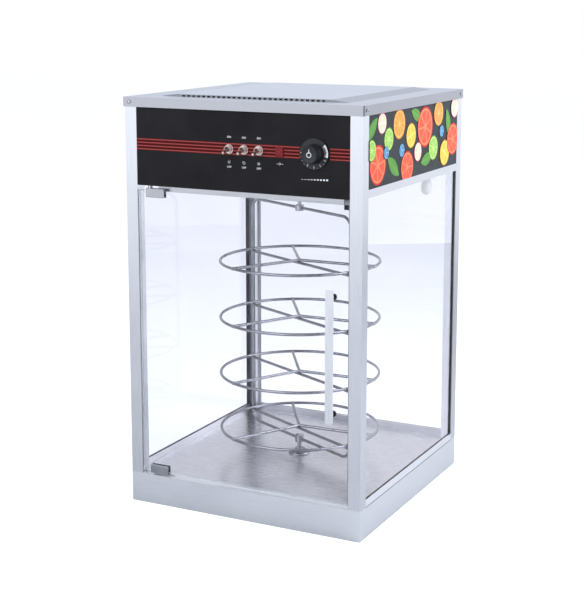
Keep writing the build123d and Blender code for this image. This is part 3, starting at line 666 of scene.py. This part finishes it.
for name, low, height in (("lowerCollar", collar["low"], collar["lowHeight"]),
                          ("upperCollar", collar["high"], collar["highHeight"])):
    piece = pieceFrom(name, collarMesh(low, height), chrome, "carousel")
print("stage: racks and hoop")

# Dome-head screws round the cap, set by nodes on points that hold their own turn
capScrew = {"radius": 0.00425, "height": 0.0029, "rim": 0.12, "steps": 8, "sides": 32, "recess": 0.0021,
            "slot": 0.0009, "depth": 0.0016, "inset": 0.011, "face": 0.25, "level": 0.8003, "twist": 0.3}


def screwHeadMesh():
    tall = capScrew["height"]
    wide = capScrew["radius"]
    rim = tall * capScrew["rim"]
    profile = [(wide, 0.0), (wide, rim)]
    for k in range(1, capScrew["steps"]):
        turn = math.radians(90 * k / capScrew["steps"])
        profile.append((wide * math.cos(turn), rim + (tall - rim) * math.sin(turn)))
    profile.append((nearAxis / 2, tall))
    head = linked("screwHead", lathe(profile, capScrew["sides"]))
    bm = bmesh.new()
    for turn in (0, 90):
        boxInto(bm, (0, 0, tall), (2 * capScrew["recess"], capScrew["slot"], 2 * capScrew["depth"]), turn)
    cutter = linked("crossCutter", meshFrom("crossCutter", bm))
    cut = head.modifiers.new("recess", "BOOLEAN")
    cut.operation = "DIFFERENCE"
    cut.object = cutter
    cut.use_self = True
    mesh = plainMesh(head)
    bpy.data.objects.remove(head)
    bpy.data.objects.remove(cutter)
    return mesh


def scatterTree():
    tree, given = newTree("scatterHeads", [
        ("Head", "Object", None), ("Turn Name", "String", "turn"), ("Material", "Material", None)])
    head = addNode(tree, "GeometryNodeObjectInfo", {"Object": given["Head"]}).outputs["Geometry"]
    turn = outputFrom(tree, "GeometryNodeInputNamedAttribute", {"Name": given["Turn Name"]},
                      data_type="FLOAT_VECTOR")
    return finishTree(tree, setOnPoints(tree, given["Geometry"], head, Rotation=turn), given)


scatter = scatterTree()


def scatterHeads(name, headMesh, sites, material, body):
    points = bpy.data.meshes.new(name + "Points")
    points.from_pydata([place for place, turn in sites], [], [])
    attribute = points.attributes.new("turn", "FLOAT_VECTOR", "POINT")
    for k, (place, turn) in enumerate(sites):
        attribute.data[k].vector = turn
    head = linked(name + "Head", headMesh)
    piece = runTree(name, scatter, {"Head": head, "Material": material}, body, points)
    bpy.data.objects.remove(head)
    piece.data.set_sharp_from_angle(angle=smoothBelow)
    return piece


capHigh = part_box("roof_cap")[1]
screwReach = capScrew["face"] - capScrew["inset"]
screwSites = []
for sideX in (-1, 1):
    for sideY in (-1, 1):
        if (sideX, sideY) != (1, -1):  # the front's right end has none
            screwSites.append(((sideX * screwReach, sideY * capHigh.y, capScrew["level"]),
                               (math.radians(-90 * sideY), capScrew["twist"] * sideX, 0)))
        screwSites.append(((sideX * capHigh.x, sideY * screwReach, capScrew["level"]),
                           (0, math.radians(90 * sideX), 0)))
screws = scatterHeads("capScrewHeads", screwHeadMesh(), screwSites, turnedSteel, "cabinet")
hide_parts("cap_screws")

# Hex bolts on the bearing flange, on washers
flangeBolt = {"circle": 0.017, "seat": 0.0655, "count": 3, "first": 90, "across": 0.0036, "under": 0.0005,
              "tall": 0.003, "chamfer": 0.0004, "washer": 0.0042, "washerTall": 0.0006, "washerSides": 28}


def hexBoltMesh():
    look = flangeBolt
    washer = lathe([(nearAxis, 0), (look["washer"], 0), (look["washer"], look["washerTall"]),
                    (nearAxis, look["washerTall"])], look["washerSides"])
    head = lathe([(nearAxis, look["under"]), (look["across"], look["under"]),
                  (look["across"], look["tall"] - look["chamfer"]),
                  (look["across"] - look["chamfer"], look["tall"]), (nearAxis, look["tall"])], 6)
    return joinMeshes("hexBolt", [washer, head])


boltSites = []
for k in range(flangeBolt["count"]):
    turn = math.radians(flangeBolt["first"] + 360 * k / flangeBolt["count"])
    boltSites.append(((flangeBolt["circle"] * math.cos(turn), flangeBolt["circle"] * math.sin(turn),
                       flangeBolt["seat"]), (0, 0, turn)))
bolts = scatterHeads("flangeBoltHeads", hexBoltMesh(), boltSites, chrome, "cabinet")
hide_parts("flange_bolts")
print("stage: screws")

# Thermostat knob: a fluted grip on a numbered skirt
knob = {"x": 0.155, "z": 0.72, "front": -0.254, "radius": 0.018, "length": 0.021, "flutes": 24,
        "flute": 0.0011, "fluteBand": 0.003, "fluteFrom": 0.0015, "foot": 0.0018, "taper": 0.0014,
        "edge": 0.0016, "dish": 0.0006, "dishRim": 0.0012, "taperSteps": 6, "edgeSteps": 5, "sides": 192}


def fluted(turn, radius, height):
    if radius < knob["radius"] - knob["fluteBand"] or height < knob["fluteFrom"]:
        return 0.0
    wave = abs(math.sin(turn * knob["flutes"] / 2))
    return -knob["flute"] * (1 - wave) ** 2


def knobMesh():
    reach = knob["radius"]
    top = reach - knob["taper"]
    tall = knob["length"]
    edge = knob["edge"]
    foot = knob["foot"]
    profile = [(nearAxis, 0), (reach, 0), (reach, foot)]
    for k in range(1, knob["taperSteps"]):
        share = k / knob["taperSteps"]
        profile.append((reach - knob["taper"] * share, foot + (tall - edge - foot) * share))
    for k in range(knob["edgeSteps"] + 1):
        turn = math.radians(90 * k / knob["edgeSteps"])
        profile.append((top - edge + edge * math.cos(turn), tall - edge + edge * math.sin(turn)))
    profile.append((top - edge - knob["dishRim"], tall - knob["dish"]))
    profile.append((nearAxis, tall - knob["dish"]))
    mesh = lathe(profile, knob["sides"], fluted)
    mesh.transform(facingMatrix(knob["x"], knob["front"], knob["z"]))
    return mesh


grip = pieceFrom("flutedGrip", knobMesh(), blackPlastic, "dial")
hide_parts("knob_grip")


def inkPiece(name, meshes, x, y, z, body="cabinet"):
    mesh = joinMeshes(name, meshes)
    mesh.transform(facingMatrix(x, y, z))
    piece = pieceFrom(name, mesh, whiteInk, body, smooth=False)


dial = {"skirt": 0.0285, "numbers": 0.0238, "size": 0.0056, "count": 8, "step": -31.0, "start": -55.0,
        "tickInset": 0.0018, "tick": (0.0005, 0.0016), "between": (0.0004, 0.001), "lift": 0.0001,
        "arc": (0.0205, 0.0282), "arcTall": 0.0002, "arcSegments": 32, "arcStart": -12, "arcSweep": 50,
        "arcLift": 0.00008, "mark": (0.0038, 0.0048), "markSegments": 40, "bar": (0.0012, 0.0075),
        "barHigh": 0.0062}


def dialNumbers():
    marks = []
    tickPlace = (0, dial["skirt"] - dial["tickInset"], 0)
    for k in range(dial["count"]):
        turn = dial["start"] + dial["step"] * k
        number = textMesh(str(k), dial["size"])
        number.transform(aboutZ(turn) @ Matrix.Translation((0, dial["numbers"], 0)))
        tick = barMesh(*dial["tick"], place=tickPlace)
        tick.transform(aboutZ(turn))
        between = barMesh(*dial["between"], place=tickPlace)
        between.transform(aboutZ(turn + dial["step"] / 2))
        marks += [number, tick, between]
    return marks


inkPiece("dialNumbers", dialNumbers(), knob["x"], knob["front"] - dial["lift"], knob["z"], "dial")
inkPiece("knobPointer", [ringMesh(*dial["mark"], segments=dial["markSegments"]),
                         barMesh(*dial["bar"], place=(0, dial["barHigh"], 0))],
         knob["x"], knob["front"] - knob["length"] + knob["dish"] - dial["lift"], knob["z"], "dial")
# A silver arc on the skirt's right side: a painted highlight, standing for a lamp's reflection on the glossy
# black skirt
highlightArc = ringMesh(*dial["arc"], dial["arcTall"], dial["arcSegments"], dial["arcStart"], dial["arcSweep"])
highlightArc.transform(facingMatrix(knob["x"], knob["front"] - dial["arcLift"], knob["z"]))
pieceFrom("skirtShield", highlightArc, turnedSteel, "dial", smooth=False)
print("stage: knob")

# Switch labels: plain ON and OFF, with a simple sign for each function
switches = {"x": (-0.0215, 0.0097, 0.0409), "z": 0.72, "onHigh": 0.0222, "offLow": 0.0335, "signLow": 0.0245,
            "size": 0.0053, "ink": -0.25012}
sun = {"ring": (0.0012, 0.0017), "segments": 28, "rays": 8, "ray": (0.0004, 0.0011), "reach": 0.0027}
arrows = {"ring": (0.0021, 0.0026), "segments": 24, "sweep": 130, "head": 0.0013, "reach": 0.00235, "past": 8}
waves = {"bar": (0.00045, 0.0016), "lean": 32, "rows": 4, "column": 0.0018, "row": 0.0012}


def lampSign():
    marks = [ringMesh(*sun["ring"], segments=sun["segments"])]
    for k in range(sun["rays"]):
        ray = barMesh(*sun["ray"], place=(0, sun["reach"], 0))
        ray.transform(aboutZ(360 * k / sun["rays"]))
        marks.append(ray)
    return marks


def turnSign():
    marks = []
    for start in (20, 200):
        marks.append(ringMesh(*arrows["ring"], inkDepth, arrows["segments"], start, arrows["sweep"]))
        head = barMesh(arrows["head"], arrows["head"], place=(arrows["reach"], 0, 0), turn=45)
        head.transform(aboutZ(start + arrows["sweep"] + arrows["past"]))
        marks.append(head)
    return marks


def heatSign():
    marks = []
    for column in (-1, 0, 1):
        for row in range(waves["rows"]):
            place = (waves["column"] * column, waves["row"] * (row - (waves["rows"] - 1) / 2), 0)
            lean = waves["lean"] if row % 2 else -waves["lean"]
            marks.append(barMesh(*waves["bar"], place=place, turn=lean))
    return marks


for x, sign, label in zip(switches["x"], (lampSign, turnSign, heatSign), ("Light", "Motor", "Heat")):
    onMesh, offMesh = textMesh("ON", switches["size"]), textMesh("OFF", switches["size"])
    inkPiece("inkOn" + label, [onMesh], x, switches["ink"], switches["z"] + switches["onHigh"])
    inkPiece("inkOff" + label, [offMesh], x, switches["ink"], switches["z"] - switches["offLow"])
    inkPiece("inkSign" + label, sign(), x, switches["ink"], switches["z"] - switches["signLow"])

# Pilot sign: a ring between two dashes
pilotMark = {"x": 0.084, "low": 0.0225, "ring": (0.0016, 0.0021), "segments": 28, "dash": (0.0035, 0.0005),
             "reach": 0.0048}
pilotSign = [ringMesh(*pilotMark["ring"], segments=pilotMark["segments"])]
for side in (-1, 1):
    pilotSign.append(barMesh(*pilotMark["dash"], place=(side * pilotMark["reach"], 0, 0)))
inkPiece("inkPilot", pilotSign, pilotMark["x"], switches["ink"], switches["z"] - pilotMark["low"])

# Heat scale: a row of bars that grow to the right
heatBars = {"low": 0.0478, "count": 9, "wide": 0.0034, "thin": 0.0006, "grow": 0.0003, "pitch": 0.0062}


def heatScale():
    marks = []
    for k in range(heatBars["count"]):
        along = heatBars["pitch"] * (k - (heatBars["count"] - 1) / 2)
        tall = heatBars["thin"] + heatBars["grow"] * k
        marks.append(barMesh(heatBars["wide"], tall, place=(along, heatBars["grow"] / 2 * k, 0)))
    return marks


inkPiece("inkHeatScale", heatScale(), knob["x"], switches["ink"], knob["z"] - heatBars["low"])
print("stage: labels")

# Dark seams where the channels sit on the base, between the posts
seam = {"low": 0.0592, "high": 0.0606, "face": 0.25, "proud": 0.00006, "run": 0.2248}


def seamMeshes():
    meshes = []
    for turn in (0, 90, 180):
        bm = bmesh.new()
        boxInto(bm, (seam["face"], 0, (seam["high"] + seam["low"]) / 2),
                (2 * seam["proud"], 2 * seam["run"], seam["high"] - seam["low"]))
        mesh = meshFrom("seam", bm)
        mesh.transform(aboutZ(turn))
        meshes.append(mesh)
    return meshes


seamPiece = pieceFrom("baseSeams", joinMeshes("baseSeams", seamMeshes()), rubber, "cabinet", smooth=False)
print("stage: seams")

# Side print: slices, leaves and rings on slate, as flat shapes a hair proud of the panel
printLook = {"face": 0.25, "lift": 0.00006, "low": 0.6575, "high": 0.7905, "halfRun": 0.2245,
             "specular": 0.06, "depth": 0.0003}
sliceLook = {"roughness": 0.28, "speck": (26.0, 4.0, 0.6), "speckShare": 0.55, "gap": 0.14, "paleFrom": 0.8,
             "rimFrom": 0.9, "bump": 0.05, "steps": 36}
leafLook = {"roughness": 0.3, "veins": 34.0, "veinShare": 0.8, "rib": 0.03, "bump": 0.06, "steps": 24,
            "bulge": 0.2, "blunt": 0.8, "tall": 0.4}


def sliceMaterial(name, flesh, pale, rim, wedges):
    look = sliceLook
    material, tree, shader = newMaterial(name, {
        "Roughness": look["roughness"], "Specular IOR Level": printLook["specular"]})
    uv = outputFrom(tree, "ShaderNodeUVMap")
    centred = outputFrom(tree, "ShaderNodeVectorMath", {0: uv, 1: (0.5, 0.5, 0)}, operation="SUBTRACT")
    length = addNode(tree, "ShaderNodeVectorMath", {0: centred}, operation="LENGTH").outputs["Value"]
    reach = mathFrom(tree, "MULTIPLY", length, 2.0)
    split = splitFrom(tree, centred)
    angle = mathFrom(tree, "ARCTAN2", split["Y"], split["X"])
    wave = mathFrom(tree, "ABSOLUTE", mathFrom(tree, "SINE", mathFrom(tree, "MULTIPLY", angle, wedges / 2)))
    speck = noiseFrom(tree, look["speck"], uv)
    inWedge = mathFrom(tree, "GREATER_THAN", mathFrom(tree, "MULTIPLY", wave, reach), look["gap"])
    inside = mixColours(tree, inWedge, pale, flesh)
    inside = mixColours(tree, mathFrom(tree, "MULTIPLY", speck, look["speckShare"]), inside, pale)
    ringed = mixColours(tree, mathFrom(tree, "GREATER_THAN", reach, look["paleFrom"]), inside, pale)
    onRim = mathFrom(tree, "GREATER_THAN", reach, look["rimFrom"])
    setColour(tree, shader, mixColours(tree, onRim, ringed, rim))
    bumpFrom(tree, shader, speck, look["bump"], printLook["depth"])
    return material


def leafMaterial(name, dark, light):
    look = leafLook
    material, tree, shader = newMaterial(name, {
        "Roughness": look["roughness"], "Specular IOR Level": printLook["specular"]})
    split = splitFrom(tree, outputFrom(tree, "ShaderNodeUVMap"))
    fromRib = awayFrom(tree, split["Y"], 0.5)
    lean = mathFrom(tree, "MULTIPLY", mathFrom(tree, "ADD", split["X"], fromRib), look["veins"])
    veins = mathFrom(tree, "ABSOLUTE", mathFrom(tree, "SINE", lean))
    tone = mixColours(tree, mathFrom(tree, "MULTIPLY", veins, look["veinShare"]), light, dark)
    setColour(tree, shader, mixColours(tree, mathFrom(tree, "LESS_THAN", fromRib, look["rib"]), tone, light))
    bumpFrom(tree, shader, veins, look["bump"], printLook["depth"])
    return material


sliceKinds = {
    "tomato": sliceMaterial("printTomato", (0.50, 0.022, 0.015), (0.62, 0.16, 0.07), (0.36, 0.012, 0.012), 7),
    "orange": sliceMaterial("printOrange", (0.58, 0.13, 0.012), (0.68, 0.34, 0.09), (0.52, 0.17, 0.02), 10),
    "lime": sliceMaterial("printLime", (0.12, 0.30, 0.03), (0.38, 0.5, 0.16), (0.05, 0.17, 0.015), 9),
    "onion": sliceMaterial("printOnion", (0.52, 0.36, 0.26), (0.66, 0.55, 0.42), (0.36, 0.04, 0.12), 4),
    "berry": sliceMaterial("printBerry", (0.03, 0.12, 0.26), (0.14, 0.30, 0.42), (0.015, 0.05, 0.14), 3),
    "pepper": sliceMaterial("printPepper", (0.50, 0.30, 0.02), (0.62, 0.46, 0.10), (0.42, 0.2, 0.012), 4),
    "leaf": leafMaterial("printLeaf", (0.018, 0.11, 0.016), (0.12, 0.28, 0.05)),
}
# kind, place along the panel and up it as shares, width in metres, turn in degrees
printMotifs = [
    ("leaf", 0.03, 0.80, 0.060, 40), ("tomato", 0.09, 0.30, 0.074, 10), ("onion", 0.13, 0.86, 0.040, 0),
    ("lime", 0.20, 0.62, 0.044, 25), ("leaf", 0.25, 0.22, 0.066, -35), ("orange", 0.31, 0.80, 0.056, 5),
    ("berry", 0.34, 0.42, 0.026, 0), ("tomato", 0.40, 0.16, 0.062, 50), ("pepper", 0.44, 0.60, 0.048, 15),
    ("leaf", 0.50, 0.88, 0.058, 160), ("onion", 0.52, 0.34, 0.038, 0), ("tomato", 0.60, 0.68, 0.080, 80),
    ("leaf", 0.62, 0.20, 0.060, 10), ("lime", 0.70, 0.34, 0.050, 0), ("orange", 0.76, 0.84, 0.050, 33),
    ("berry", 0.80, 0.56, 0.024, 0), ("pepper", 0.84, 0.22, 0.052, 60), ("leaf", 0.88, 0.66, 0.064, -70),
    ("tomato", 0.94, 0.40, 0.066, 20), ("onion", 0.96, 0.88, 0.042, 0), ("berry", 0.17, 0.44, 0.024, 0),
    ("lime", 0.02, 0.52, 0.040, 0),
]


def leafOutline(width):
    half = leafLook["steps"] // 2
    points = []
    for k in range(leafLook["steps"]):
        share = k / half if k <= half else 2 - k / half
        bulge = math.sin(math.pi * share) ** leafLook["blunt"] * leafLook["bulge"]
        points.append(((share - 0.5) * width, (bulge if k <= half else -bulge) * width))
    return points


def discOutline(width):
    turns = [2 * math.pi * k / sliceLook["steps"] for k in range(sliceLook["steps"])]
    return [(math.cos(turn) * width / 2, math.sin(turn) * width / 2) for turn in turns]


def clipToPanel(points):
    low, high, run = printLook["low"], printLook["high"], printLook["halfRun"]
    edges = ((0, 1, -run), (0, -1, -run), (1, 1, low), (1, -1, -high))
    for axis, sign, limit in edges:
        kept = []
        for here, there in zip(points, points[1:] + points[:1]):
            a = sign * here[axis] - limit
            b = sign * there[axis] - limit
            if a >= 0:
                kept.append(here)
            if (a >= 0) != (b >= 0):
                share = a / (a - b)
                kept.append(tuple(p + (q - p) * share for p, q in zip(here, there)))
        points = kept
        if len(points) < 3:
            return []
    return points


def motifPiece(number, kind, along, up, width, turn, side):
    centreY = side * (2 * along - 1) * printLook["halfRun"]
    centreZ = printLook["low"] + up * (printLook["high"] - printLook["low"])
    spin = math.radians(turn)
    isLeaf = kind == "leaf"
    tall = width * leafLook["tall"] if isLeaf else width
    shape = []
    for u, v in leafOutline(width) if isLeaf else discOutline(width):
        y = centreY + side * (u * math.cos(spin) - v * math.sin(spin))
        z = centreZ + u * math.sin(spin) + v * math.cos(spin)
        shape.append((y, z, u / width + 0.5, v / tall + 0.5))
    shape = clipToPanel(shape)
    if not shape:
        return
    bm = bmesh.new()
    layer = bm.loops.layers.uv.new("UVMap")
    x = side * (printLook["face"] + printLook["lift"] * (number + 1))
    face = bm.faces.new([bm.verts.new((x, y, z)) for y, z, u, v in shape])
    for loop, (y, z, u, v) in zip(face.loops, shape):
        loop[layer].uv = (u, v)
    bm.normal_update()
    if face.normal.x * side < 0:
        face.normal_flip()
    label = "Right" if side > 0 else "Left"
    piece = pieceFrom("print" + label + str(number), meshFrom("printMotif", bm), sliceKinds[kind], "cabinet",
                      smooth=False)


for side in (-1, 1):
    for number, motif in enumerate(printMotifs):
        motifPiece(number, *motif, side)
print("stage: side print")

# Floor, backdrop and light
stageLook = {"floor": (0.42, 0.43, 0.45), "floorGlow": 0.7, "floorRoughness": 0.9, "size": 12.0,
             "world": (0.74, 0.79, 0.90), "strength": 0.95, "light": (0.95, 0.97, 1.0)}


def seenOrThrough(tree):
    rays = addNode(tree, "ShaderNodeLightPath").outputs
    return mathFrom(tree, "ADD", rays["Is Camera Ray"], rays["Is Transmission Ray"], clamp=True)


def floorMaterial():
    material, tree, shader = newMaterial("paleFloor", {
        "Base Color": (*stageLook["floor"], 1), "Roughness": stageLook["floorRoughness"],
        "Specular IOR Level": 0.0, "Emission Color": (1, 1, 1, 1)})
    glow = mathFrom(tree, "MULTIPLY", seenOrThrough(tree), stageLook["floorGlow"])
    tree.links.new(glow, shader.inputs["Emission Strength"])
    return material


floorMesh = bpy.data.meshes.new("floor")
half = stageLook["size"]
corners = [(-half, -half, 0), (half, -half, 0), (half, half, 0), (-half, half, 0)]
floorMesh.from_pydata(corners, [], [(0, 1, 2, 3)])
floorMesh.materials.append(floorMaterial())
floor = linked("floor", floorMesh)

world = bpy.data.worlds.new("studio")
bpy.context.scene.world = world
world.use_nodes = True
worldTree = world.node_tree
background = worldTree.nodes["Background"]
seen = seenOrThrough(worldTree)
tone = mixColours(worldTree, seen, stageLook["world"], (1.0, 1.0, 1.0))
worldTree.links.new(tone, background.inputs["Color"])
worldTree.links.new(rangeFrom(worldTree, seen, stageLook["strength"], 1.0), background.inputs["Strength"])

# name, place, target, width and height, power, and whether mirrors show it
softboxes = [
    ("keyBox", (-1.0, -2.5, 1.05), (0, -0.25, 0.9), (2.8, 2.0), 21, True),
    ("backBox", (1.6, 2.15, 1.05), (0.25, 0, 0.9), (2.2, 2.0), 14, True),
    ("frontFloorBox", (-0.4, -1.6, 1.5), (-0.3, -0.9, 0), (1.8, 1.4), 26, False),
    ("rightFloorBox", (1.2, 0.3, 1.3), (0.8, 0.2, 0), (1.4, 1.8), 44, False),
    ("topBox", (0.2, 0.9, 2.8), (0, 0, 0.5), (2.4, 2.4), 5, True),
]
for name, place, target, size, power, mirrored in softboxes:
    light = bpy.data.lights.new(name, "AREA")
    light.shape = "RECTANGLE"
    light.size, light.size_y = size
    light.energy = power
    light.color = stageLook["light"]
    lamp = linked(name, light)
    lamp.visible_glossy = mirrored
    lamp.location = place
    lamp.rotation_mode = "QUATERNION"
    lamp.rotation_quaternion = (Vector(target) - Vector(place)).to_track_quat("-Z", "Y")

# Camera at the photograph's place; the focal length is in pixels of a picture this tall
view = {"place": (1.2391, -2.4767, 0.9997), "yaw": 26.907, "pitch": 9.825, "focal": 1385.2, "tall": 589,
        "shiftY": -0.1, "sensor": 36.0, "reach": 100}
cameraData = bpy.data.cameras.new("camera")
cameraData.sensor_fit = "AUTO"
cameraData.sensor_width = view["sensor"]
cameraData.lens = view["focal"] * view["sensor"] / view["tall"]
cameraData.shift_y = view["shiftY"]
cameraData.clip_end = view["reach"]
camera = linked("camera", cameraData)
camera.location = view["place"]
camera.rotation_euler = (math.radians(90 - view["pitch"]), 0, math.radians(view["yaw"]))
bpy.context.scene.camera = camera
bpy.context.scene.view_settings.view_transform = "Standard"
print("stage: camera and light")
